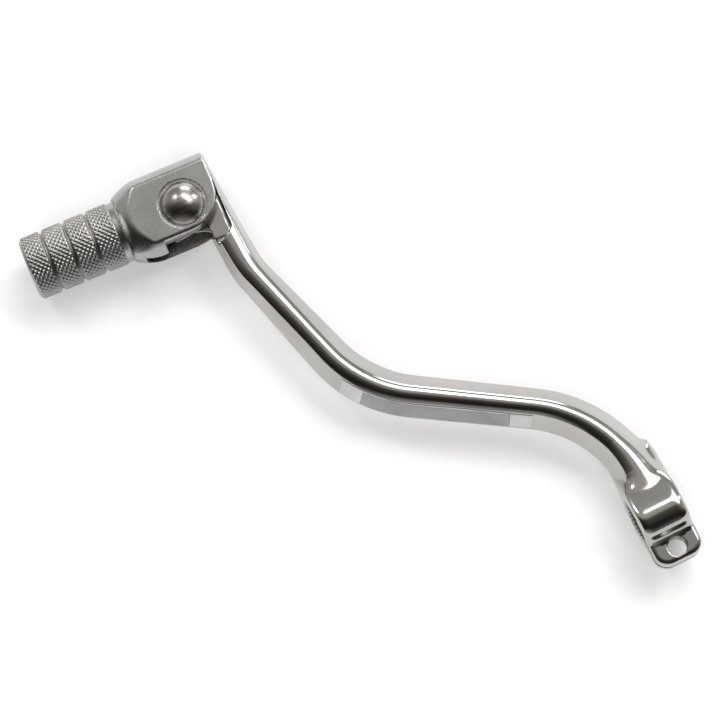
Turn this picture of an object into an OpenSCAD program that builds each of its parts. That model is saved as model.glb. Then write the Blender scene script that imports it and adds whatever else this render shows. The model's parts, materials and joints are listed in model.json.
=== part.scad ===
// Folding-tip gear shift lever.
// The origin is the middle of the splined bore. The bore runs along Y, the lever reaches
// forward along +X, the toe peg points outboard along +Y, and the hinge pin stands along Z.

/* [Clamp boss] */
// Length of the boss along the shaft
boss_len = 13.8; // [12:0.1:18]
// Radius of the barrel around the bore
barrel_r = 11.3; // [10.5:0.1:12]
// Distance from the bore to the rear end of the boss
boss_rear = 14.6; // [14.5:0.1:18]
// Half height of the flat pinch land
land_z = 5.2; // [4.5:0.1:6]
// Corner radius of the pinch land, seen from above
land_corner_r = 4; // [1:0.5:6]
// Distance from the bore to the front edge of the flat land
land_from = 8.2; // [7.8:0.1:8.6]
// Radius to the crests of the serrations
spline_crest_r = 5.7; // [5.4:0.05:5.8]
// Radius to the roots of the serrations
spline_root_r = 6.1; // [5.9:0.05:6.3]
// Number of serrations
spline_teeth = 30; // [24:1:36]
// Width of the clamp slit
slit_w = 1.8; // [1:0.1:2.5]
// Distance from the bore to the pinch screw
pinch_x = 10.8; // [10.4:0.1:11]
// Radius of the tapped half of the pinch hole
pinch_tap_r = 2.5; // [2.1:0.1:3]
// Radius of the plain half of the pinch hole
pinch_clear_r = 3.1; // [2.6:0.1:3.2]

/* [Arm] */
// Corners of the arm's centre line, before its bends are rounded
arm_corners = [[0, 0], [29.2, 0], [65, 56.2], [109, 69.1], [143, 70.8]];
// Radius of the bend at each inner corner
bend_r = [37, 36, 25];
// Angle between two sections in a bend
bend_step = 6; // [4:1:10]
// Sections in each straight
straight_sections = 5; // [2:1:8]
// Sections along the centre line: distance, half width, half height, crown share of the width
arm_sections = [
    [0, 6.7, 8.4, 0.62],
    [12, 6.5, 7.9, 0.56],
    [22, 5.8, 7.1, 0.48],
    [45, 5.6, 6.9, 0.46],
    [92, 5.9, 6.8, 0.46],
    [112, 5.4, 6.4, 0.48],
    [132, 4.8, 6.0, 0.58],
    [150, 4.5, 5.7, 0.72],
    [175, 4.5, 5.7, 0.72],
];
// Height of the crown's edges, as a share of the half height
crown_share = 0.84; // [0.7:0.01:0.9]

/* [Hinge] */
// Place of the hinge pin
pin_xy = [131.6, 77.2];
// Angle by which the peg leans forward of square
peg_lean = 3.6; // [0:0.1:6]
// Distance from the hinge pin forward to the peg's axis
peg_offset = 1.1; // [0:0.1:1.5]
// Half thickness of the tongue
tongue_z = 2.9; // [2.5:0.1:3.2]
// Gap between the tongue and each ear
tongue_gap = 0.1; // [0.05:0.01:0.2]
// Radius of the milled run-out around the pin
runout_r = 14.2; // [13.5:0.1:15.5]
// Radius of the pin's shank
pin_r = 3; // [2.5:0.1:3]
// Running clearance between the pin and its bush
pin_clearance = 0.05; // [0.02:0.01:0.08]
// Outer radius of the bush
bush_r = 4.2; // [4:0.1:5]
// Largest fold of the tip
fold_max = 55; // [30:1:55]

/* [Tip] */
// Radius of the turned fork
fork_r = 11.8; // [11:0.1:12]
// Half height between the flats of the fork
flat_z = 8.3; // [8:0.1:8.8]
// Distance from the pin to the inboard end of the ears
ear_end = 9.85; // [9.5:0.05:10]
// Distance from the pin to the floor of the slot
slot_floor = 14.6; // [14.4:0.1:15]
// Distance from the pin to the end of the full fork radius
fork_len = 10.4; // [10:0.1:11]
// Distance from the pin to the end of the neck
collar_at = 17.3; // [17:0.1:17.8]
// Distance from the pin to the first knurled band
knurl_at = 19.3; // [19:0.1:20]
// Distance from the pin to the end of the peg
peg_end = 45.2; // [40:0.1:48]
// Radius over the knurl
peg_r = 8.9; // [8:0.1:9.2]
// Number of knurled bands
band_count = 4; // [3:1:5]
// Depth of the grooves between the bands
groove_depth = 0.6; // [0.3:0.1:0.8]

/* [Spring and plunger] */
// Radius of the plunger
plunger_r = 3; // [2.6:0.1:3]
// Distance from the pin to the centre of the plunger's round nose, at rest
nose_at = 11.4; // [11:0.1:12]
// Travel of the plunger for one radian of fold
cam_rate = 1.2; // [0.6:0.1:1.6]
// Length of the plunger behind its nose
plunger_len = 9; // [8:0.5:11]
// Distance from the pin to the bottom of the spring bore
bore_end = 38; // [34:0.5:40]
// Radius of the spring wire
wire_r = 0.35; // [0.25:0.05:0.4]
// Number of spring coils
coil_count = 11; // [8:1:14]

/* [Label] */
// Distance along the arm where the label strip starts
label_from = 48; // [46:1:55]
// Distance along the arm where the label strip ends
label_to = 96; // [85:1:100]
// Thickness of the label strip
label_t = 0.12; // [0.1:0.01:0.2]

/* [Hidden] */
$fn = 96;
eps = 0.01;
far = 60;
ear_z = tongue_z + tongue_gap;
dome_r = 6.15;
dome_h = 3.7;
seat_r = 6.75;
seat_depth = 0.2;
washer_r = 5.5;
washer_h = 1;
tail_r = 2.2;
tail_head_r = 3.3;
tail_head_h = 1.2;
crown_points = 6;
// Share of the pitch that a serration's groove takes.
groove_share = 0.6;
facing_r = barrel_r + 5.7;
shoulder_z = 3.5;
tongue_r = 7.6;
// Gap between the cam and the plunger's nose.
cam_gap = 0.06;
plunger_clearance = 0.05;
cup_r = 2.3;
cup_floor = 1.5;
spring_r = 1.85;
wire_sides = 6;
coil_steps = 14;
label_lift = 0.04;

// ---- Centre line of the arm: straights and round bends ----

function heading(a, b) = atan2(b[1] - a[1], b[0] - a[0]);
function unit(h) = [cos(h), sin(h)];

leg_count = len(arm_corners) - 1;
leg_h = [for (i = [0:leg_count - 1]) heading(arm_corners[i], arm_corners[i + 1])];
turn = [for (i = [1:leg_count - 1]) leg_h[i] - leg_h[i - 1]];
tangent = [for (i = [0:leg_count - 2]) bend_r[i] * tan(abs(turn[i]) / 2)];

// One bend as sections of [x, y, heading].
function bend(i) =
    let (corner = arm_corners[i + 1], steps = ceil(abs(turn[i]) / bend_step),
         side = sign(turn[i]), start = corner - tangent[i] * unit(leg_h[i]),
         centre = start + bend_r[i] * side * unit(leg_h[i] + 90))
    [for (k = [0:steps])
        let (h = leg_h[i] + turn[i] * k / steps, p = centre - bend_r[i] * side * unit(h + 90))
        [p[0], p[1], h]];

// The sections of one leg between its bends, with neither end counted.
function leg(i) =
    let (from = arm_corners[i] + (i == 0 ? 0 : tangent[i - 1]) * unit(leg_h[i]),
         to = arm_corners[i + 1] - (i == leg_count - 1 ? 0 : tangent[i]) * unit(leg_h[i]))
    [for (k = [1:straight_sections])
        let (p = from + (to - from) * k / (straight_sections + 1)) [p[0], p[1], leg_h[i]]];

function at_corner(i, h) = [arm_corners[i][0], arm_corners[i][1], h];

stations = concat(
    [at_corner(0, leg_h[0])],
    [for (i = [0:leg_count - 1]) each concat(leg(i), i < leg_count - 1 ? bend(i) : [])],
    [at_corner(leg_count, leg_h[leg_count - 1])]);

function hop(i) = norm([stations[i][0] - stations[i - 1][0], stations[i][1] - stations[i - 1][1]]);
function run(i) = i == 0 ? 0 : run(i - 1) + hop(i);
run_at = [for (i = [0:len(stations) - 1]) run(i)];

// ---- Section of the arm: two crowns, with sides that slope to a parting line ----

function section_at(s, k) = lookup(s, [for (row = arm_sections) [row[0], row[k]]]);

// One crown, from the outboard edge to the inboard edge; up is 1 or -1.
function crown(s, up) =
    let (w = section_at(s, 1), h = section_at(s, 2), c = w * section_at(s, 3))
    [for (k = [0:crown_points])
        let (q = 1 - 2 * k / crown_points)
        [q * c, up * h * (crown_share + (1 - crown_share) * (1 - q * q))]];

function reversed(list) = [for (k = [len(list) - 1:-1:0]) list[k]];

function section(s) = let (w = section_at(s, 1))
    concat([[w, 0]], crown(s, 1), [[-w, 0]], reversed(crown(s, -1)));

// A section point [u, z] at a station, with u outboard of the centre line.
function placed(st, p) = [st[0] - p[0] * sin(st[2]), st[1] + p[0] * cos(st[2]), p[1]];

ring_n = 2 * crown_points + 4;
ring_points = [for (i = [0:len(stations) - 1], p = section(run_at[i])) placed(stations[i], p)];

// Triangles between rings of n points, with both ends closed by fans.
function skin(rings, n) = concat(
    [for (i = [0:rings - 2], k = [0:n - 1]) [i * n + k, (i + 1) * n + k, i * n + (k + 1) % n]],
    [for (i = [0:rings - 2], k = [0:n - 1])
        [i * n + (k + 1) % n, (i + 1) * n + k, (i + 1) * n + (k + 1) % n]],
    [for (k = [1:n - 2]) [0, k, k + 1]],
    [for (k = [1:n - 2]) [(rings - 1) * n, (rings - 1) * n + k + 1, (rings - 1) * n + k]]);

module arm_forging() polyhedron(ring_points, skin(len(stations), ring_n));

// ---- Frames and small shapes ----

// The tip's frame: origin on the hinge pin, Y outboard along the peg.
module at_pin() translate([pin_xy[0], pin_xy[1], 0]) rotate([0, 0, -peg_lean]) children();

// A cylinder along Y, from y0 to y1, at x.
module rod_y(r, y0, y1, x = 0) translate([x, y0, 0]) rotate([-90, 0, 0]) cylinder(r = r, h = y1 - y0);

// A cylinder along Z, from z0 to z1.
module rod_z(r, z0, z1) translate([0, 0, z0]) cylinder(r = r, h = z1 - z0);

// A block given by its lowest and highest corners.
module block(lo, hi) translate(lo) cube(hi - lo);

// ---- Lever arm ----

// The block behind the bore, rounded at its two rear corners.
module pinch_land() {
    half = boss_len / 2;
    corner_x = land_corner_r - boss_rear;
    translate([0, 0, -land_z]) linear_extrude(2 * land_z) {
        translate([corner_x, -half]) square([-corner_x, boss_len]);
        translate([-boss_rear, land_corner_r - half])
            square([boss_rear, boss_len - 2 * land_corner_r]);
        for (side = [-1, 1])
            translate([corner_x, side * (half - land_corner_r)]) circle(land_corner_r);
    }
}

// Clears the flat land above or below, with a hollow step up to the barrel.
module land_cut() {
    step = [[-far, land_z], [-land_from, land_z], [0.5 - land_from, land_z + 0.2],
            [0.9 - land_from, land_z + 0.6], [1.3 - land_from, land_z + 1.4],
            [2.5 - land_from, far], [-far, far]];
    rotate([90, 0, 0]) translate([0, 0, -boss_len]) linear_extrude(2 * boss_len) polygon(step);
}

// Shoulder that carries the boss's inboard face forward into the arm.
module shoulder() {
    half = boss_len / 2;
    translate([0, 0, -shoulder_z]) linear_extrude(2 * shoulder_z)
        polygon([[8, -half], [15, -half], [19, 1 - half], [14, 3 - half]]);
}

// One V groove of the serrations, pointing along +X.
module serration() {
    half_w = spline_crest_r * sin(groove_share * 180 / spline_teeth);
    inside = spline_crest_r - 0.5;
    rotate([90, 0, 0]) translate([0, 0, -boss_len]) linear_extrude(2 * boss_len)
        polygon([[inside, -half_w], [spline_crest_r, -half_w], [spline_root_r, 0],
                 [spline_crest_r, half_w], [inside, half_w]]);
}

module splined_bore() {
    rod_y(spline_crest_r, -boss_len, boss_len);
    for (k = [0:spline_teeth - 1])
        rotate([0, (k + 0.5) * 360 / spline_teeth, 0]) serration();
}

module clamp_cuts() {
    splined_bore();
    block([-far, -far / 2, -slit_w / 2], [0, far / 2, slit_w / 2]);
    translate([-pinch_x, 0, 0]) {
        rod_z(pinch_tap_r, 0, far);
        rod_z(pinch_clear_r, -far, 0);
    }
    for (up = [0, 1]) mirror([0, 0, up]) land_cut();
    // Facing cut on the outboard side, which also trims the flank of the arm.
    rod_y(facing_r, boss_len / 2, boss_len / 2 + 10);
}

// Milling around the pin: leaves the tongue, and a low wall inboard of the upper ear.
module tongue_cuts() {
    reach = 24;
    difference() {
        side_milling(reach);
        block([-far, -far, 0], [far, -ear_end - tongue_gap, far]);
    }
    mirror([0, 0, 1]) side_milling(reach);
}

// The milled space above the tongue: round about the pin, and open to the front.
module side_milling(reach) {
    rod_z(runout_r, tongue_z, tongue_z + reach);
    block([0, -reach, tongue_z], [reach, reach, tongue_z + reach]);
}

function turned(p, a) = [p[0] * cos(a) - p[1] * sin(a), p[0] * sin(a) + p[1] * cos(a)];

// Distance from the pin to the nose's centre along the peg, at a fold angle.
function nose_out(a) = nose_at + cam_rate * a * PI / 180;

// Point of the cam that the nose touches at a fold angle, in the tongue's frame.
function cam_point(a) =
    let (c = nose_out(a), push = [peg_offset + cam_rate, c] / norm([peg_offset + cam_rate, c]))
    turned([peg_offset, c] - (plunger_r + cam_gap) * push, a);

// Plate around the pin, the cam that the plunger rides on, and the root that joins the arm.
module tongue() {
    cam_from = -24;
    cam_to = fold_max + 5;
    translate([0, 0, -tongue_z]) linear_extrude(2 * tongue_z) {
        circle(tongue_r);
        polygon(concat([[0, 0]], [for (a = [cam_from:4:cam_to]) cam_point(a)],
                       [[-tongue_r - 0.2, 2], [-tongue_r, 0]]));
        polygon([[-11.5, -9], [-11.5, -3.9], [-9.2, -4.4], [-8.2, -2.6], [-tongue_r, 0],
                 [tongue_r, 0], [8.6, -6], [9, -9]]);
    }
}

module lever_arm() color("gainsboro") difference() {
    union() {
        arm_forging();
        rod_y(barrel_r, -boss_len / 2, boss_len / 2);
        pinch_land();
        shoulder();
        at_pin() tongue();
    }
    clamp_cuts();
    at_pin() {
        tongue_cuts();
        rod_z(bush_r, -far, far);
    }
}

module pivot_bush() color("goldenrod") at_pin() difference() {
    rod_z(bush_r, -tongue_z, tongue_z);
    rod_z(pin_r + pin_clearance, -far, far);
}

// ---- Stock label: a thin strip on the outboard upper side of the arm ----

function side_edge(s, share, lift) =
    let (w = section_at(s, 1), h = section_at(s, 2), c = w * section_at(s, 3),
         low = [w, 0], high = [c, h * crown_share], run_v = high - low,
         out = [run_v[1], -run_v[0]] / norm(run_v))
    low + share * run_v + lift * out;

function on_label(i) = run_at[i] >= label_from && run_at[i] <= label_to;

label_rings = [for (i = [0:len(stations) - 1]) if (on_label(i)) i];
label_corners = [[0.05, 0], [0.05, label_t], [0.95, label_t], [0.95, 0]];

module stock_label() color("darkgray") polyhedron(
    [for (i = label_rings, p = label_corners)
        placed(stations[i], side_edge(run_at[i], p[0], label_lift + p[1]))],
    skin(len(label_rings), 4));

// ---- Folding tip ----

// Outline of the turned blank, from the axis outwards: [radius, distance from the pin].
module blank_outline() {
    band = (peg_end - knurl_at) / band_count;
    neck_r = peg_r + 0.5;
    drop = fork_r - neck_r;
    neck = collar_at - fork_len;
    steps = 8;
    chamfer = 1;
    difference() {
        union() {
            translate([0, -ear_end]) square([fork_r, ear_end + fork_len]);
            polygon(concat([[0, fork_len]],
                [for (k = [0:steps])
                    let (q = k / steps) [fork_r - drop * pow(q, 1.7), fork_len + neck * q]],
                [[peg_r - 0.4, collar_at + 0.6], [peg_r - 0.4, collar_at + 1], [0, collar_at + 1]]));
            translate([0, collar_at]) square([peg_r - groove_depth, peg_end - collar_at]);
            translate([0, knurl_at]) square([peg_r, peg_end - knurl_at]);
        }
        for (k = [1:band_count - 1])
            translate([peg_r, knurl_at + k * band])
                polygon([[eps, -groove_depth], [-groove_depth, 0], [eps, groove_depth]]);
        translate([peg_r, peg_end])
            polygon([[eps, -chamfer], [-chamfer, eps], [eps, eps]]);
    }
}

module ear_cuts() {
    reach = 30;
    arc = [2.8, 0.75];
    arc_r = 10.65;
    side_end = 8.4;
    lower_r = 10.2;
    // Slot for the tongue.
    block([-reach, -reach, -ear_z], [reach, slot_floor, ear_z]);
    // Upper ear: round inboard corner and a straight side that clears the arm's crown.
    difference() {
        block([-reach, -reach, 0], [arc[0], arc[1], reach]);
        translate(arc) rod_z(arc_r, -1, reach + 1);
    }
    block([-reach, arc[1] - eps, 0], [arc[0] - arc_r, side_end, reach]);
    // Lower ear: round about the pin.
    difference() {
        block([-reach, -reach, -reach], [0, 0, 0]);
        rod_z(lower_r, -reach - 1, 1);
    }
}

module folding_tip() color("silver") at_pin() difference() {
    intersection() {
        translate([peg_offset, 0, 0]) rotate([-90, 0, 0]) rotate_extrude() blank_outline();
        union() {
            block([-far, -far, -flat_z], [far, collar_at, flat_z]);
            block([-far, collar_at, -far], [far, far, far]);
        }
    }
    ear_cuts();
    rod_z(pin_r, -far, far);
    rod_z(seat_r, flat_z - seat_depth, far);
    rod_y(plunger_r + plunger_clearance, slot_floor - 1, bore_end, peg_offset);
}

// ---- Pin, washer, plunger and spring ----

module pivot_pin() color("dimgray") at_pin() {
    seat = flat_z - seat_depth;
    cap_r = (pow(dome_r, 2) + pow(dome_h, 2)) / (2 * dome_h);
    rod_z(pin_r, -flat_z, seat + eps);
    rod_z(tail_r, -flat_z - washer_h - eps, -flat_z + eps);
    // Domed head.
    difference() {
        translate([0, 0, seat + dome_h - cap_r]) sphere(cap_r);
        block([-far, -far, -far], [far, far, seat]);
    }
    // Peened tail.
    translate([0, 0, -flat_z - washer_h - tail_head_h])
        cylinder(r1 = tail_r, r2 = tail_head_r, h = tail_head_h);
}

module pin_washer() color("gray") at_pin() difference() {
    rod_z(washer_r, -flat_z - washer_h, -flat_z);
    rod_z(tail_r, -far, far);
}

module plunger() color("slategray") at_pin() difference() {
    union() {
        translate([peg_offset, nose_at, 0]) sphere(plunger_r);
        rod_y(plunger_r, nose_at, nose_at + plunger_len, peg_offset);
    }
    rod_y(cup_r, nose_at + cup_floor, far, peg_offset);
}

spring_from = nose_at + cup_floor + wire_r;
spring_to = bore_end - wire_r;
spring_rings = coil_count * coil_steps;
coil_rise = (spring_to - spring_from) / spring_rings;

function spring_point(i, k) =
    let (a = i * 360 / coil_steps, b = k * 360 / wire_sides, r = spring_r + wire_r * cos(b))
    [peg_offset + r * cos(a), spring_from + coil_rise * i + wire_r * sin(b), r * sin(a)];

module return_spring() color("darkgoldenrod") at_pin()
    polyhedron([for (i = [0:spring_rings], k = [0:wire_sides - 1]) spring_point(i, k)],
               skin(spring_rings + 1, wire_sides));

lever_arm();
pivot_bush();
stock_label();
folding_tip();
pivot_pin();
pin_washer();
plunger();
return_spring();
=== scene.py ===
import json

import bpy
import numpy as np
from mathutils import Matrix, Vector


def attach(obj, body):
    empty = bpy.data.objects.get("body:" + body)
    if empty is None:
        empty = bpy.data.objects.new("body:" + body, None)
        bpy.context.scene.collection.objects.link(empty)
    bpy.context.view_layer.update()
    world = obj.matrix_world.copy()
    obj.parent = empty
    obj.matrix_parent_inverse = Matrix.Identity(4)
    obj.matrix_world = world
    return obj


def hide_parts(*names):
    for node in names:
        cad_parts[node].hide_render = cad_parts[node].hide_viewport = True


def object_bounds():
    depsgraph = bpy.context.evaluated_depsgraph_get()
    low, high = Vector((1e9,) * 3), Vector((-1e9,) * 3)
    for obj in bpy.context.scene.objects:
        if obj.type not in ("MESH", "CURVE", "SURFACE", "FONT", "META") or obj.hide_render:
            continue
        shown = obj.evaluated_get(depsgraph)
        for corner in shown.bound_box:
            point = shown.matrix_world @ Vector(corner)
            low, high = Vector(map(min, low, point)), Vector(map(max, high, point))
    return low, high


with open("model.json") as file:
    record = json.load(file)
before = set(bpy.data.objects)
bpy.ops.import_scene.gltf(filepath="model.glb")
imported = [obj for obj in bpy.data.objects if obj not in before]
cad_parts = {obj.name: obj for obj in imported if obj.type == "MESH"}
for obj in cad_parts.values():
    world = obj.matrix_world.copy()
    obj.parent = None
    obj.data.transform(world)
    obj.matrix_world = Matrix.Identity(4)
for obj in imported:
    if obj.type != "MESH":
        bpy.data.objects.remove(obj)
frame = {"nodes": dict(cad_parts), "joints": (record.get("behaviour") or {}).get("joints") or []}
cad_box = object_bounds()
tip_fold = next(j for j in frame["joints"] if j["name"] == "tip_fold")
PIN = np.array(tip_fold["pos_m"][:2]) * 1000

# Sizes in millimetres. Where the CAD source has the same value, it is the same here.

# Boss: a barrel round the splined bore, pinch lands behind it and a shoulder in front.
HALF, BARREL_R, BOSS_REAR = 6.9, 11.3, 14.6
FRONT_SLOPE, FRONT_REACH = np.radians(23), 10.45
LAND_Z, LAND_FROM, LAND_CORNER = 5.2, 8.2, 4.0
LAND_STEP_LEAD, LAND_STEP_SLANT, LAND_STEP_RISE = 1.3, 0.3, 1.4
SHOULDER_Z, SHOULDER_SHRINK = 3.5, 0.5
SHOULDER = [[7, -HALF], [15, -HALF], [19, 1 - HALF], [14, 4 - HALF]]
FACING_R, END_FACE_REACH = 17.0, 20
SLIT, PINCH_X = 0.9, 10.8
MOUTH_R, MOUTH_DEPTH, THREAD_SEAT_R, CLEARANCE_R = 2.6, 0.6, 3.05, 3.1
BORE_CREST, BORE_ROOT, TEETH = 5.7, 6.1, 30

# Arm: corners of its centre line, bend radii, and its section along the run.
CORNERS = np.array([[0, 0], [29.2, 0], [65, 56.2], [109, 69.1], [143, 70.8]], float)
BEND_R = (37, 36, 25)
SECTIONS = np.array([  # run, half width, half height, width of the crown as a share
    [0, 6.7, 8.4, 0.62],
    [12, 6.5, 7.9, 0.56],
    [22, 5.8, 7.1, 0.48],
    [45, 5.6, 6.9, 0.46],
    [92, 5.9, 6.8, 0.46],
    [112, 5.4, 6.4, 0.48],
    [132, 4.8, 6.0, 0.58],
    [150, 4.5, 5.7, 0.72],
    [175, 4.5, 5.7, 0.72],
])
CROWN_SHARE, PARTING_R = 0.84, 0.2
ARM_FADE, ARM_FADE_FROM = 0.06, 12

# Tongue, in the tip's own frame: it stands on the hinge pin and leans with the peg.
LEAN, OFFSET = np.radians(3.6), 1.1
TONGUE_Z, TONGUE_R, RUNOUT_R, BUSH_R = 2.9, 7.6, 14.2, 4.2
NOSE_AT, CAM_RATE, NOSE_R = 11.4, 1.2, 3.06
CAM_END = [[-7.8, 2], [-7.6, 0]]
ROOT = [[-11.5, -9], [-11.5, -3.9], [-9.2, -4.4], [-8.2, -2.6], [-7.6, 0], [7.6, 0], [8.6, -6], [9, -9]]

# Fork, neck and knurled peg of the tip, along the tip's own Y.
FORK_R, FLAT_Z, EAR_END, EAR_Z = 11.8, 8.3, 9.85, 3.0
SLOT_FLOOR, FORK_LEN, NECK_FROM, NECK_END = 14.6, 10.4, 14.9, 17.3
NECK_SLOPE, NECK_SQUASH, COLLAR_STEP = 0.5, 0.72, 0.95
EAR_CORNER, EAR_CORNER_R, EAR_SIDE_TO, LOWER_EAR_R = (2.8, 0.75), 10.65, 8.4, 10.2
PIN_R, HEAD_SEAT_R, HEAD_SEAT_DEPTH, SPRING_BORE_R = 3.0, 6.75, 0.2, 3.05
KNURL_AT, PEG_END, PEG_R, BANDS, END_CHAMFER = 19.3, 45.2, 8.9, 4, 1.0

# Roundings: about the size of the arc where two faces meet.
FORGED_BLEND, SHOULDER_BLEND = 3.5, 2.0
BARREL_OUTER, BARREL_INNER, CREST = 2.4, 3.0, 0.8
STEP_FOOT, STEP_TOP, LAND_RIM, SHOULDER_RIM = 3.0, 2.6, 1.6, 2.5
SOFT, MILLED, CUT, SHARP, BARE = 0.5, 0.45, 0.4, 0.3, 0.2


# ---- Fields: negative inside, close to a distance in millimetres near the surface ----

def smax(a, b, k):
    """The larger of two fields, with a rounding of about k where they meet."""
    h = np.maximum(k - np.abs(a - b), 0) / k
    return np.maximum(a, b) + h * h * k / 4


def smin(a, b, k):
    return -smax(-a, -b, k)


def polygon_field(x, y, points):
    """Signed distance to a closed outline."""
    points = np.asarray(points, float)
    best = np.full(x.shape, 1e9)
    inside = np.zeros(x.shape, bool)
    for a, b in zip(points, np.roll(points, -1, 0)):
        e = b - a
        px, py = x - a[0], y - a[1]
        t = np.clip((px * e[0] + py * e[1]) / (e @ e), 0, 1)
        best = np.minimum(best, np.hypot(px - t * e[0], py - t * e[1]))
        if a[1] != b[1]:
            crosses = (a[1] > y) != (b[1] > y)
            inside ^= crosses & (x < e[0] * (y - a[1]) / e[1] + a[0])
    return np.where(inside, -best, best)


def arm_path():
    """The centre line as straight and round pieces, each with the run at its start."""
    legs = np.diff(CORNERS, axis=0)
    heading = np.arctan2(legs[:, 1], legs[:, 0])
    turn = np.diff(heading)
    tangent = np.concatenate([[0], np.array(BEND_R) * np.tan(np.abs(turn) / 2), [0]])
    pieces, s = [], 0.0
    for i, h in enumerate(heading):
        e = np.array([np.cos(h), np.sin(h)])
        start = CORNERS[i] + tangent[i] * e
        length = np.hypot(*legs[i]) - tangent[i] - tangent[i + 1]
        pieces.append(("line", s, start, h, length))
        s += length
        if i < len(turn):
            side = np.sign(turn[i])
            end = start + length * e
            centre = end + BEND_R[i] * side * np.array([-e[1], e[0]])
            pieces.append(("arc", s, centre, h, abs(turn[i]), BEND_R[i], side))
            s += BEND_R[i] * abs(turn[i])
    return pieces, s


PATH, PATH_LENGTH = arm_path()


def along_arm(x, y):
    """Run along the centre line, offset outboard of it, and how far past its ends."""
    best = np.full(x.shape, 1e9)
    run, out, past = np.zeros(x.shape), np.zeros(x.shape), np.zeros(x.shape)
    for piece in PATH:
        if piece[0] == "line":
            _, s0, start, h, length = piece
            rx, ry = x - start[0], y - start[1]
            t = rx * np.cos(h) + ry * np.sin(h)
            u = ry * np.cos(h) - rx * np.sin(h)
            tc = np.clip(t, 0, length)
            s = s0 + tc
            over = np.abs(t - tc)
        else:
            _, s0, centre, h, angle, r, side = piece
            qx, qy = x - centre[0], y - centre[1]
            u = side * (r - np.hypot(qx, qy))
            turned = (np.arctan2(qy, qx) + side * np.pi / 2 - h) * side
            turned = (turned + np.pi) % (2 * np.pi) - np.pi
            tc = np.clip(turned, 0, angle)
            s = s0 + r * tc
            over = r * np.abs(turned - tc)
        d = np.hypot(u, over)
        near = d < best
        best = np.where(near, d, best)
        run, out, past = np.where(near, s, run), np.where(near, u, out), np.where(near, over, past)
    return run, out, past


def section_size(s):
    return [np.interp(s, SECTIONS[:, 0], SECTIONS[:, k]) for k in (1, 2, 3)]


def arm_field(x, y, z):
    """The arm: two sloping flanks above and below a parting line, and a curved crown."""
    s, u, past = along_arm(x, y)
    w, h, share = section_size(s)
    c = w * share
    up, side = np.sqrt(z * z + PARTING_R ** 2) - PARTING_R, np.abs(u)
    rise, lean = CROWN_SHARE * h, w - c
    flank = ((side - w) * rise + up * lean) / np.hypot(rise, lean)
    slope = 2 * (1 - CROWN_SHARE) * h * side / c ** 2
    top = h * (1 - (1 - CROWN_SHARE) * (u / c) ** 2)
    crown = (np.abs(z) - top) / np.sqrt(1 + slope ** 2)
    f = smax(flank, crown, CREST)
    return np.where(past > 0, np.maximum(f, past), f)


def boss_field(x, y, z):
    az, r = np.abs(z), np.hypot(x, z)
    barrel = smax(smax(r - BARREL_R, y - HALF, BARREL_OUTER), -y - HALF, BARREL_INNER)
    # The front of the barrel is a flat slope down to the arm.
    front = x * np.sin(FRONT_SLOPE) + az * np.cos(FRONT_SLOPE) - FRONT_REACH
    barrel = smax(barrel, front, CREST)
    # Behind it, a steep step goes down to the flat lands.
    step_wall = x + LAND_FROM - LAND_STEP_LEAD + LAND_STEP_SLANT * (LAND_Z + LAND_STEP_RISE - az)
    barrel = smax(barrel, -smax(LAND_Z - az, step_wall, STEP_FOOT), STEP_TOP)
    past_x = np.maximum(LAND_CORNER - BOSS_REAR - x, 0)
    past_y = np.maximum(np.abs(y) - HALF + LAND_CORNER, 0)
    land = smax(np.hypot(past_x, past_y) - LAND_CORNER, az - LAND_Z, LAND_RIM)
    land = smax(land, x + 2, SOFT)
    shoulder = smax(polygon_field(x, y, SHOULDER) + SHOULDER_SHRINK, az - SHOULDER_Z, SHOULDER_RIM)
    return smin(np.minimum(barrel, land), shoulder, SHOULDER_BLEND)


def tip_xy(x, y):
    """Row coordinates to the tip's own frame, which stands on the hinge pin."""
    rx, ry = x - PIN[0], y - PIN[1]
    return rx * np.cos(LEAN) - ry * np.sin(LEAN), rx * np.sin(LEAN) + ry * np.cos(LEAN)


def cam_outline():
    """The tongue's cam edge, which pushes the plunger in as the tip folds."""
    points = [[0, 0]]
    for a in np.radians(np.arange(-24, 61, 4)):
        reach = NOSE_AT + CAM_RATE * a
        push = np.array([OFFSET + CAM_RATE, reach])
        p = np.array([OFFSET, reach]) - NOSE_R * push / np.hypot(*push)
        points.append([p[0] * np.cos(a) - p[1] * np.sin(a), p[0] * np.sin(a) + p[1] * np.cos(a)])
    return points + CAM_END


CAM = cam_outline()


def pinch_hole_field(x, y, z):
    """The thread's seat with a narrower mouth above the slit, the clearance hole below it."""
    upper = np.where(z > LAND_Z - MOUTH_DEPTH, MOUTH_R, THREAD_SEAT_R)
    return np.hypot(x + PINCH_X, y) - np.where(z > 0, upper, CLEARANCE_R)


def with_tongue(f, x, y, z):
    """The rest of the lever with room milled for the ears, and the tongue in that room."""
    r = np.hypot(x, y)
    outline = np.minimum(polygon_field(x, y, CAM), polygon_field(x, y, ROOT))
    tongue = smax(np.minimum(r - TONGUE_R, outline), np.abs(z) - TONGUE_Z, CUT)
    room = np.minimum(r - RUNOUT_R, -x)
    above = smax(smax(room, -EAR_END - 0.1 - y, CUT), TONGUE_Z - z, SOFT)
    below = smax(room, TONGUE_Z + z, SOFT)
    f = smax(smax(f, -above, SOFT), -below, SOFT)
    return smax(smin(f, tongue, CUT), BUSH_R - r, BARE)


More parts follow.
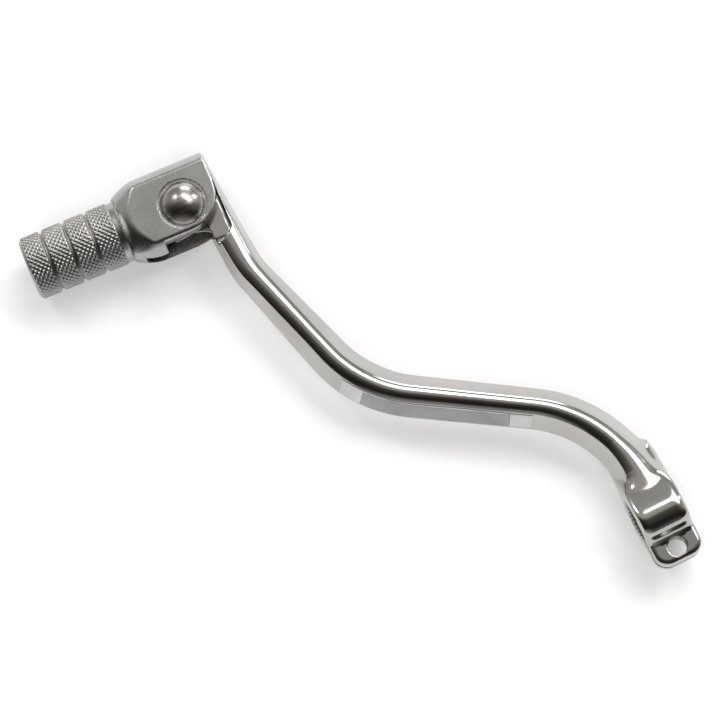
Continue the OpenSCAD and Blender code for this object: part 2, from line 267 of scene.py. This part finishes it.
def lever_field(x, y, z):
    # The arm's crown widens into the barrel; its own end is left out of the blend.
    arm = arm_field(x, y, z) + ARM_FADE * np.clip(ARM_FADE_FROM - x, 0, 30) ** 2
    f = smin(arm, boss_field(x, y, z), FORGED_BLEND)
    f = smax(f, -np.maximum(y + HALF, x - END_FACE_REACH), 0.6)
    r = np.hypot(x, z)
    f = smax(f, -np.maximum(r - FACING_R, HALF - y), CUT)
    f = smax(f, BORE_ROOT + 0.2 - r, 0.7)
    f = smax(f, -np.maximum(np.abs(z) - SLIT, x), SHARP)
    f = smax(f, -pinch_hole_field(x, y, z), SHARP)
    tx, ty = tip_xy(x, y)
    head = np.hypot(tx, ty) < 30
    if head.any():
        f[head] = with_tongue(f[head], tx[head], ty[head], z[head])
    return f


def fork_radius(y):
    """Radius of the turned fork end: full, then a curved neck, then the collar."""
    q = np.clip((y - FORK_LEN) / (NECK_END - FORK_LEN), 0, 1)
    r = FORK_R - (FORK_R - PEG_R - 0.5) * q ** 1.7
    return r - np.clip((y - NECK_END) / 0.7, 0, 1) * COLLAR_STEP


def ears_field(x, y, z):
    """Outlines of the two ears, seen along the pin: each has one rounded corner."""
    cx, cy = EAR_CORNER
    in_corner = (x < cx) & (y < cy)
    upper = np.where(in_corner, np.hypot(x - cx, y - cy) - EAR_CORNER_R, cx - EAR_CORNER_R - x)
    upper = np.where(x < cx, smin(upper, EAR_SIDE_TO - y, 0.8), -10)
    lower = np.where((x < 0) & (y < 0), np.hypot(x, y) - LOWER_EAR_R, -10)
    return np.where(z > 0, upper, np.where(z < 0, lower, -10))


def fork_field(x, y, z):
    """The fork end of the tip, in the tip's own frame."""
    slope = 0.45 * np.clip((y - FORK_LEN) / 4, 0, 1)
    f = (np.hypot(x - OFFSET, z) - fork_radius(y)) / np.sqrt(1 + slope ** 2)
    f = smax(smax(f, -EAR_END - y, SOFT), y - KNURL_AT - 0.4, SHARP)
    # Past the neck, the flats and the lowered neck give way to the round collar.
    release = 4 * np.maximum(y - NECK_END, 0)
    f = smax(f, np.abs(z) - FLAT_Z - release, MILLED)
    neck = np.hypot(NECK_SQUASH * (x - OFFSET), z) - FLAT_Z + NECK_SLOPE * (y - NECK_FROM)
    f = smax(f, neck / 1.15 - release, CUT)
    f = smax(f, -smax(np.abs(z) - EAR_Z, y - SLOT_FLOOR, SHARP), MILLED)
    f = smax(f, ears_field(x, y, z), MILLED)
    r = np.hypot(x, y)
    f = smax(f, PIN_R - r, 0.1)
    f = smax(f, -smax(r - HEAD_SEAT_R, FLAT_Z - HEAD_SEAT_DEPTH - z, 0.1), 0.15)
    spring_bore = smin(SPRING_BORE_R - np.hypot(x - OFFSET, z), y - SLOT_FLOOR + 1, BARE)
    return smax(f, spring_bore, BARE)


# ---- Meshes ----

def gradient(field, p, step=0.02):
    g = np.empty_like(p)
    for k in range(3):
        d = np.zeros(3)
        d[k] = step
        g[:, k] = (field(*(p + d).T) - field(*(p - d).T)) / (2 * step)
    return g


def sampled(field, low, count, pitch, block):
    """Field values on a grid: exact in the blocks near the surface, one value in the others."""
    shape = np.meshgrid(*[np.arange(n // block) for n in count], indexing="ij")
    blocks = np.stack(shape, -1).reshape(-1, 3)
    value = field(*(low + (blocks + 0.5) * block * pitch).T)
    reach = block * pitch * 1.25
    grid = np.empty(count, np.float32)
    for b, v in zip(blocks, value):
        if abs(v) > reach:
            grid[tuple(slice(i * block, (i + 1) * block) for i in b)] = v
    inner = np.stack(np.meshgrid(*[np.arange(block)] * 3, indexing="ij"), -1).reshape(-1, 3)
    close = blocks[np.abs(value) <= reach]
    for chunk in np.array_split(close, max(1, len(close) // 800)):
        node = (chunk[:, None] * block + inner[None]).reshape(-1, 3)
        grid[tuple(node.T)] = field(*(low + node * pitch).T)
    return grid


def crossed_cells(grid, count):
    """Grid cells that the surface crosses, and the mean of the crossings on their edges."""
    corners = [(i, j, k) for i in (0, 1) for j in (0, 1) for k in (0, 1)]
    solid = grid < 0
    filled = sum(solid[tuple(slice(o, n - 1 + o) for o, n in zip(c, count))].astype(np.int8)
                 for c in corners)
    cells = np.argwhere((filled > 0) & (filled < 8))
    total, weight = np.zeros((len(cells), 3)), np.zeros(len(cells))
    for c in corners:
        for axis in (axis for axis in range(3) if not c[axis]):
            step = np.eye(3, dtype=int)[axis]
            a = grid[tuple((cells + c).T)]
            b = grid[tuple((cells + c + step).T)]
            cut = (a < 0) != (b < 0)
            t = np.where(cut, a / np.where(cut, a - b, 1), 0)
            total += np.where(cut[:, None], np.array(c, float) + t[:, None] * step, 0)
            weight += cut
    return cells, cells + total / weight[:, None]


def quads_between(solid, index, count):
    """One quad round each grid edge that leaves or enters the solid."""
    faces = []
    for axis in range(3):
        b, c = [(1, 2), (2, 0), (0, 1)][axis]
        here = [slice(1, n - 1) for n in count]
        here[axis] = slice(0, count[axis] - 1)
        ahead = list(here)
        ahead[axis] = slice(1, count[axis])
        s0, s1 = solid[tuple(here)], solid[tuple(ahead)]
        base = np.array([h.start for h in here])
        for flip, found in ((False, s0 & ~s1), (True, ~s0 & s1)):
            at = np.argwhere(found) + base
            ring = []
            for db, dc in ((0, 0), (-1, 0), (-1, -1), (0, -1)):
                q = at.copy()
                q[:, b] += db
                q[:, c] += dc
                ring.append(index[tuple(q.T)])
            quad = np.stack(ring, 1)
            faces.append(quad[:, ::-1] if flip else quad)
    return np.concatenate(faces)


def onto_surface(field, points, pitch, rounds=4):
    """Points moved along the gradient to where the field is zero, and the normals there."""
    for _ in range(rounds):
        g = gradient(field, points)
        size = np.maximum((g * g).sum(1), 0.05)
        move = -(field(*points.T) / size)[:, None] * g
        far = np.linalg.norm(move, axis=1, keepdims=True)
        points = points + move * np.minimum(1, 0.4 * pitch / np.maximum(far, 1e-9))
    g = gradient(field, points)
    return points, g / np.maximum(np.linalg.norm(g, axis=1, keepdims=True), 1e-9)


def skin_of(field, low, high, pitch, block=8):
    """Quads over the surface where the field is zero, as points, faces and normals."""
    low = np.array(low, float)
    count = np.ceil((np.array(high) - low) / pitch / block).astype(int) * block
    grid = sampled(field, low, count, pitch, block)
    cells, crossings = crossed_cells(grid, count)
    index = np.full(np.array(count) - 1, -1, np.int64)
    index[tuple(cells.T)] = np.arange(len(cells))
    faces = quads_between(grid < 0, index, count)
    points, normals = onto_surface(field, low + crossings * pitch, pitch)
    return points, faces, normals


def mesh_object(name, points, faces, normals=None, smooth=True):
    """A Blender object from points in millimetres."""
    mesh = bpy.data.meshes.new(name)
    faces = faces.tolist() if isinstance(faces, np.ndarray) else faces
    mesh.from_pydata(np.asarray(points) / 1000, [], faces)
    mesh.validate()
    mesh.update()
    if smooth:
        mesh.shade_smooth()
    if normals is not None and len(mesh.vertices) == len(normals):
        mesh.normals_split_custom_set_from_vertices(normals.tolist())
    obj = bpy.data.objects.new(name, mesh)
    bpy.context.scene.collection.objects.link(obj)
    return obj


def grid_faces(rows, cols, wrap):
    """Quads of a grid of points, row by row; wrap joins the last column to the first.

    They face along the way of the columns crossed with the way of the rows.
    """
    i = np.arange(rows - 1)[:, None]
    j = np.arange(cols if wrap else cols - 1)[None]
    k = (j + 1) % cols
    here, ahead = i * cols, (i + 1) * cols
    return np.stack([here + j, here + k, ahead + k, ahead + j], -1).reshape(-1, 4)


def from_tip(p):
    """Points of the tip's own frame in the row frame."""
    x, y = p[..., 0], p[..., 1]
    c, s = np.cos(LEAN), np.sin(LEAN)
    return np.stack([PIN[0] + x * c + y * s, PIN[1] - x * s + y * c, p[..., 2]], -1)


def triangle_wave(t):
    """1 at whole numbers, 0 half way between."""
    return np.abs(2 * (t - np.floor(t)) - 1)


def build_lever():
    low, high = (-16, -9, -12.4), (149, 90, 12.4)
    points, faces, normals = skin_of(lever_field, low, high, 0.38)
    return mesh_object("lever_arm_forged", points, faces, normals)


def build_fork():
    low, high = (-12, -11, -10), (14.5, 21, 10)
    points, faces, normals = skin_of(fork_field, low, high, 0.2)
    leaned = from_tip(normals) - from_tip(np.zeros(3))
    return mesh_object("tip_fork", from_tip(points), faces, leaned)


def peg_radius(v, theta):
    """Outside of the peg: crossing V grooves, band grooves and a chamfer at each end."""
    starts, helix, depth, groove_shape = 36, 1.12, 0.36, 1.15
    band_depth, band_slope = 0.95, 1.1
    turns = starts * theta / (2 * np.pi)
    lead = helix * v / (2 * np.pi * PEG_R / starts)
    groove = np.maximum(triangle_wave(turns + lead), triangle_wave(turns - lead))
    r = PEG_R - depth * groove ** groove_shape
    band = (PEG_END - KNURL_AT) / BANDS
    for k in range(1, BANDS):
        r = np.minimum(r, PEG_R - band_depth + np.abs(v - KNURL_AT - k * band) * band_slope)
    r = np.minimum(r, PEG_R - 0.45 + (v - KNURL_AT) * 0.8)
    r = np.maximum(r, PEG_R - band_depth)
    return np.minimum(r, PEG_R + PEG_END - END_CHAMFER - v)


def build_grip():
    """The knurled peg, with its flat end in rings towards the middle."""
    around, step = 36 * 10, 0.155
    v = np.arange(KNURL_AT - 0.9, PEG_END + 0.01, step)
    theta = np.arange(around) * 2 * np.pi / around
    vv, tt = np.meshgrid(v, theta, indexing="ij")
    r = peg_radius(vv, tt)
    rings = np.stack([OFFSET + r * np.cos(tt), vv, r * np.sin(tt)], -1)
    last = PEG_R - END_CHAMFER
    for share, back in ((0.985, 0.0), (0.97, 0.03), (0.5, 0.03), (0.02, 0.03)):
        ring = np.stack([OFFSET + last * share * np.cos(theta), np.full(around, PEG_END - back),
                         last * share * np.sin(theta)], -1)
        rings = np.concatenate([rings, ring[None]])
    # The near end stands inside the collar, so a plain smaller ring closes it.
    first = rings[0].copy()
    first[:, 0] = OFFSET + (first[:, 0] - OFFSET) * 0.5
    first[:, 2] *= 0.5
    rings = np.concatenate([first[None], rings])
    rows = len(rings)
    faces = grid_faces(rows, around, True)[:, ::-1].tolist()
    ends = [list(range(rows * around - 1, (rows - 1) * around - 1, -1)), list(range(around))]
    return mesh_object("tip_grip", from_tip(rings.reshape(-1, 3)), faces + ends)


def build_serrations():
    """The serrated wall of the bore, open at the slit."""
    steps, rim, lead_in, chamfer, backing = 12 * TEETH, 0.1, 0.55, 0.5, 0.5
    gap = np.arcsin((SLIT + 0.05) / BORE_ROOT)
    theta = np.linspace(-np.pi + gap, np.pi - gap, steps)
    tooth = triangle_wave(TEETH * theta / (2 * np.pi))
    inner = BORE_CREST + (BORE_ROOT - BORE_CREST) * np.clip((tooth - 0.35) / 0.6, 0, 1)
    at_rim, at_teeth = HALF - rim, HALF - lead_in
    walls = [(-at_rim, np.maximum(inner, BORE_CREST + chamfer)), (-at_teeth, inner),
             (at_teeth, inner), (at_rim, np.maximum(inner, BORE_CREST + chamfer)),
             (at_rim, BORE_ROOT + backing), (-at_rim, BORE_ROOT + backing)]
    rows = [np.stack([r * np.cos(theta), np.full(steps, y), r * np.sin(theta)], -1) for y, r in walls]
    rows.append(rows[0])
    faces = grid_faces(len(rows), steps, False)
    return mesh_object("bore_serrations", np.concatenate(rows), faces, smooth=False)


def build_thread():
    """The M6 thread in the upper half of the pinch hole."""
    around, thread_r, thread_depth, outer_r = 48, 2.5, 0.5, 3.2
    z = np.arange(SLIT + 0.1, LAND_Z - 0.35 + 0.01, 0.125)
    theta = np.arange(around) * 2 * np.pi / around
    zz, tt = np.meshgrid(z, theta, indexing="ij")
    r = thread_r + thread_depth * triangle_wave(zz - tt / (2 * np.pi))
    outer = np.full((1, around), outer_r)
    r = np.concatenate([outer, r, outer, outer])
    zz = np.concatenate([zz[:1], zz, zz[-1:], zz[:1]])
    tt = np.tile(theta, (len(zz), 1))
    rings = np.stack([r * np.cos(tt) - PINCH_X, r * np.sin(tt), zz], -1)
    faces = grid_faces(len(rings), around, True)[:, ::-1]
    return mesh_object("pinch_thread_wall", rings.reshape(-1, 3), faces)


def on_flank(s, share, lift):
    """A point on the outboard upper flank of the arm: share is 0 at the parting line."""
    w, h, c = section_size(s)
    low, high = np.array([w, 0]), np.array([w * c, h * CROWN_SHARE])
    run = high - low
    out = np.array([run[1], -run[0]]) / np.hypot(*run)
    u, z = low + share * run + lift * out
    for kind, s0, place, h0, *rest in PATH:
        if kind == "line" and s0 - 1e-6 <= s <= s0 + rest[0] + 1e-6:
            p = place + (s - s0) * np.array([np.cos(h0), np.sin(h0)])
            return [p[0] - u * np.sin(h0), p[1] + u * np.cos(h0), z]
        if kind == "arc" and s0 <= s <= s0 + rest[1] * rest[0]:
            _, r, side = rest
            a = h0 + side * (s - s0) / r
            p = place + r * side * np.array([np.sin(a), -np.cos(a)])
            return [p[0] - u * np.sin(a), p[1] + u * np.cos(a), z]
    raise ValueError(f"no place on the arm at {s}")


def build_strip(name, s0, s1, low, high, lift, thick, seed):
    """A thin strip stuck to the flank, with slightly uneven edges."""
    rng = np.random.default_rng(seed)
    rows, cols, edge_wander, swelling = int((s1 - s0) / 0.5), 9, 0.012, 0.02
    s = np.linspace(s0, s1, rows)
    wave = np.interp(s, np.linspace(s0, s1, 12), rng.normal(0, edge_wander, 12))
    top, under = [], []
    for i in range(rows):
        for q in np.linspace(0, 1, cols):
            share = low + (high - low) * q + wave[i] * (1 if q > 0.5 else -0.5)
            swell = swelling * np.sin(i * 0.33 + q * 2) * (q > 0.2)
            edge = min(q, 1 - q) * cols / 2
            top.append(on_flank(s[i], share, lift + thick * min(1, 0.5 + edge) + max(0, swell)))
            under.append(on_flank(s[i], share, lift))
    n = rows * cols
    faces = grid_faces(rows, cols, False)
    back = faces[:, ::-1] + n
    side_down = [i * cols for i in range(rows)]
    end_across = [(rows - 1) * cols + j for j in range(1, cols)]
    side_up = [i * cols + cols - 1 for i in range(rows - 2, -1, -1)]
    border = side_down + end_across + side_up + list(range(cols - 2, -1, -1))
    rim = [[a, b, b + n, a + n] for a, b in zip(border, border[1:])]
    return mesh_object(name, top + under, faces.tolist() + back.tolist() + rim)


lever = build_lever()
fork = build_fork()
grip = build_grip()
serrations = build_serrations()
thread = build_thread()
clear_tape = build_strip("stock_label_tape", 46, 97, 0.03, 0.93, 0.10, 0.04, 5)
label = build_strip("stock_label_strip", 52, 91, 0.06, 0.88, 0.13, 0.09, 3)


# ---- Materials ----

def material(name, color, rough, metal=1.0):
    """A new material with its node tree and its one shader."""
    m = bpy.data.materials.new(name)
    m.use_nodes = True
    shader = m.node_tree.nodes["Principled BSDF"]
    shader.inputs["Base Color"].default_value = (*color, 1)
    shader.inputs["Metallic"].default_value = metal
    shader.inputs["Roughness"].default_value = rough
    return m, m.node_tree, shader


def noise(tree, scale, stretch=(1, 1, 1), detail=4.0):
    """Noise in object coordinates, drawn out along the axes where stretch is below 1."""
    nodes, links = tree.nodes, tree.links
    where = nodes.new("ShaderNodeTexCoord")
    mapping = nodes.new("ShaderNodeMapping")
    mapping.inputs["Scale"].default_value = stretch
    tex = nodes.new("ShaderNodeTexNoise")
    tex.inputs["Scale"].default_value = scale
    tex.inputs["Detail"].default_value = detail
    links.new(where.outputs["Object"], mapping.inputs["Vector"])
    links.new(mapping.outputs["Vector"], tex.inputs["Vector"])
    return tex.outputs["Fac"]


def ramp(tree, source, stops):
    """Colours blended over a value; stops are places with their colours, low to high."""
    node = tree.nodes.new("ShaderNodeValToRGB")
    node.color_ramp.elements[0].position = stops[0][0]
    node.color_ramp.elements[0].color = (*stops[0][1], 1)
    node.color_ramp.elements[1].position = stops[-1][0]
    node.color_ramp.elements[1].color = (*stops[-1][1], 1)
    for place, color in stops[1:-1]:
        node.color_ramp.elements.new(place).color = (*color, 1)
    tree.links.new(source, node.inputs["Fac"])
    return node.outputs["Color"]


def to_range(tree, source, low, high):
    """The middle part of a noise, spread from low to high."""
    node = tree.nodes.new("ShaderNodeMapRange")
    node.inputs["From Min"].default_value = 0.3
    node.inputs["From Max"].default_value = 0.7
    node.inputs["To Min"].default_value = low
    node.inputs["To Max"].default_value = high
    tree.links.new(source, node.inputs["Value"])
    return node.outputs["Result"]


def bump(tree, shader, source, strength, distance):
    node = tree.nodes.new("ShaderNodeBump")
    node.inputs["Strength"].default_value = strength
    node.inputs["Distance"].default_value = distance
    tree.links.new(source, node.inputs["Height"])
    tree.links.new(node.outputs["Normal"], shader.inputs["Normal"])


def worn_metal(name, dark, light, rough, cloud, scratch, depth, stretch=(1, 1, 1)):
    """Metal with cloudy tone, uneven gloss and fine scratches along one direction."""
    m, tree, shader = material(name, light, rough[0])
    clouds = noise(tree, cloud, detail=3)
    tree.links.new(ramp(tree, clouds, [(0.35, dark), (0.65, light)]), shader.inputs["Base Color"])
    fine = noise(tree, scratch, stretch, 6)
    tree.links.new(to_range(tree, fine, rough[0], rough[1]), shader.inputs["Roughness"])
    bump(tree, shader, fine, depth, SCRATCH_HEIGHT)
    return m


SCRATCH_HEIGHT, FIBRE_HEIGHT = 0.000004, 0.00004
polished = worn_metal("polished_alloy", (0.41, 0.40, 0.385), (0.47, 0.46, 0.445), (0.10, 0.17),
                      cloud=60, scratch=5000, depth=0.12, stretch=(1, 1, 0.2))
turned = worn_metal("turned_alloy", (0.37, 0.37, 0.36), (0.43, 0.43, 0.42), (0.22, 0.32),
                    cloud=90, scratch=7000, depth=0.15, stretch=(0.1, 1, 1))
knurled = worn_metal("knurled_alloy", (0.27, 0.265, 0.255), (0.38, 0.37, 0.355), (0.26, 0.38),
                     cloud=120, scratch=5000, depth=0.2)
broached = worn_metal("broached_alloy", (0.45, 0.45, 0.45), (0.6, 0.6, 0.6), (0.2, 0.4),
                      cloud=300, scratch=1500, depth=0.3, stretch=(1, 0.1, 1))
pin_steel = worn_metal("pin_steel", (0.28, 0.26, 0.25), (0.42, 0.40, 0.38), (0.20, 0.34),
                       cloud=200, scratch=1200, depth=0.3, stretch=(1, 0.15, 1))
zinc = worn_metal("washer_zinc", (0.42, 0.43, 0.46), (0.6, 0.6, 0.62), (0.25, 0.4),
                  cloud=250, scratch=900, depth=0.3)
bronze = worn_metal("bush_bronze", (0.42, 0.28, 0.14), (0.6, 0.43, 0.24), (0.2, 0.35),
                    cloud=300, scratch=900, depth=0.3)
spring_steel = worn_metal("spring_steel", (0.3, 0.3, 0.31), (0.45, 0.45, 0.47), (0.2, 0.3),
                          cloud=300, scratch=1200, depth=0.2)


def tape_material(name, tones, gloss):
    """Paper or film under a thin clear coat, with a fibrous surface."""
    m, tree, shader = material(name, (tones[1],) * 3, 0.4, 0.0)
    stops = [(place, (t, t * 1.01, t * 0.98)) for place, t in zip((0.3, 0.55, 0.75), tones)]
    tree.links.new(ramp(tree, noise(tree, 90, (1, 1, 1), 6), stops), shader.inputs["Base Color"])
    fibre = noise(tree, 1400, (1, 1, 0.3), 5)
    tree.links.new(to_range(tree, fibre, 0.3, 0.5), shader.inputs["Roughness"])
    shader.inputs["Coat Weight"].default_value = gloss
    shader.inputs["Coat Roughness"].default_value = 0.15
    bump(tree, shader, fibre, 0.35, FIBRE_HEIGHT)
    return m


paper = tape_material("label_paper", (0.2, 0.25, 0.3), 0.5)
film = tape_material("label_film", (0.42, 0.5, 0.58), 0.8)


def paint(obj, m):
    obj.data.materials.clear()
    obj.data.materials.append(m)


for obj, m, slot, body in (
        (lever, polished, "polished_alloy", "arm"),
        (serrations, broached, "polished_alloy", "arm"),
        (thread, broached, "polished_alloy", "arm"),
        (label, paper, "tape", "arm"),
        (clear_tape, film, "tape", "arm"),
        (fork, turned, "tip_alloy", "tip"),
        (grip, knurled, "tip_alloy", "tip")):
    paint(obj, m)
    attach(obj, body)
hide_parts("lever_arm")
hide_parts("stock_label")
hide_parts("folding_tip")

for name, m in (("pivot_pin", pin_steel), ("pin_washer", zinc), ("pivot_bush", bronze),
                ("plunger", spring_steel), ("return_spring", spring_steel)):
    paint(frame["nodes"][name], m)


# ---- Floor, light and camera ----

# The picture's right and down on the floor plane, and the point that the camera aims at.
RIGHT = Vector((-0.4467, -0.8946, 0)).normalized()
DOWN = Vector((-0.8946, 0.4467, 0)).normalized()
UP = Vector((0, 0, 1))
TARGET = Vector((0.07297, 0.05295, 0))
TILT_RIGHT, TILT_DOWN, ROLL = 0.03991, 0.17278, 0.0021
CAMERA_DISTANCE, LENS, SENSOR = 1.07911, 200, 36


def towards(right, down):
    """A direction from the object, tilted from the vertical by tangents along the picture."""
    return (UP + RIGHT * float(right) + DOWN * float(down)).normalized()


def add_camera():
    lens = bpy.data.cameras.new("camera")
    lens.lens, lens.sensor_width = LENS, SENSOR
    lens.clip_start, lens.clip_end = 0.05, 20
    cam = bpy.data.objects.new("camera", lens)
    bpy.context.scene.collection.objects.link(cam)
    back = towards(np.tan(TILT_RIGHT), np.tan(TILT_DOWN))
    side = RIGHT * float(np.cos(ROLL)) + DOWN * float(np.sin(ROLL))
    side = (side - side.dot(back) * back).normalized()
    turn = Matrix((side, back.cross(side), back)).transposed()
    cam.matrix_world = Matrix.Translation(TARGET + back * CAMERA_DISTANCE) @ turn.to_4x4()
    bpy.context.scene.camera = cam


def add_light(name, direction, distance, size, watts, color=(1, 1, 1)):
    """An area light that faces the object from a direction."""
    data = bpy.data.lights.new(name, "AREA")
    data.shape = "RECTANGLE"
    data.size, data.size_y = size
    data.energy, data.color = watts, color
    obj = bpy.data.objects.new(name, data)
    obj.location = TARGET + direction * distance
    obj.rotation_euler = direction.to_track_quat("Z", "Y").to_euler()
    bpy.context.scene.collection.objects.link(obj)
    return obj


def add_fill(name, direction, distance, size, watts):
    """A wide light for the floor alone: the polished metal doesn't mirror it."""
    add_light(name, direction, distance, (size, size), watts).visible_glossy = False


def add_floor():
    """Pale paper just under the part."""
    under = cad_box[0][2] - 0.0001
    bpy.ops.mesh.primitive_plane_add(size=6, location=(0.07, 0.05, under))
    floor = bpy.context.object
    floor.name = "floor"
    m, tree, shader = material("floor_paper", (0.9, 0.9, 0.9), 0.7, 0.0)
    tone = ramp(tree, noise(tree, 30), [(0.3, (0.86, 0.86, 0.86)), (0.7, (0.9, 0.9, 0.9))])
    tree.links.new(tone, shader.inputs["Base Color"])
    floor.data.materials.append(m)


def add_world():
    """A dark room on the viewer's side, a pale one on the far side."""
    world = bpy.data.worlds.new("studio")
    world.use_nodes = True
    bpy.context.scene.world = world
    tree = world.node_tree
    where = tree.nodes.new("ShaderNodeTexCoord")
    dot = tree.nodes.new("ShaderNodeVectorMath")
    dot.operation = "DOT_PRODUCT"
    dot.inputs[1].default_value = -DOWN
    tree.links.new(where.outputs["Generated"], dot.inputs[0])
    shift = tree.nodes.new("ShaderNodeMath")
    shift.operation = "MULTIPLY_ADD"
    shift.inputs[1].default_value = 0.5
    shift.inputs[2].default_value = 0.5
    tree.links.new(dot.outputs["Value"], shift.inputs[0])
    # 0 is the viewer's horizon, 0.5 is straight up, 1 is the far horizon.
    tone = ramp(tree, shift.outputs["Value"], [
        (0.0, (0.45, 0.45, 0.45)), (0.06, (0.2, 0.19, 0.18)), (0.12, (0.03, 0.029, 0.027)),
        (0.25, (0.025, 0.024, 0.022)), (0.40, (0.085, 0.078, 0.066)), (0.50, (0.2, 0.19, 0.17)),
        (0.56, (0.5, 0.485, 0.455)), (0.64, (0.62, 0.6, 0.575)), (0.85, (0.5, 0.49, 0.47)),
        (1.0, (0.35, 0.345, 0.335))])
    tree.links.new(tone, tree.nodes["Background"].inputs["Color"])
    tree.nodes["Background"].inputs["Strength"].default_value = 1.0


add_camera()
add_light("key", towards(0.34, -0.6), 1.2, (1.15, 0.45), 7.5, (0.96, 0.95, 1.0))
add_light("left", towards(-0.8, -0.75), 1.3, (0.12, 0.12), 2)
add_light("right", towards(1.6, -1.3), 1.3, (0.2, 0.2), 3)
add_light("low_back", towards(0.3, -4.5), 1.4, (0.6, 0.3), 5)
add_fill("floor_fill", towards(0.0, 0.9), 1.3, 1.6, 17)
add_fill("floor_fill_back", towards(0.0, -1.6), 1.3, 1.4, 2)
add_floor()
add_world()
bpy.context.scene.view_settings.view_transform = "Standard"
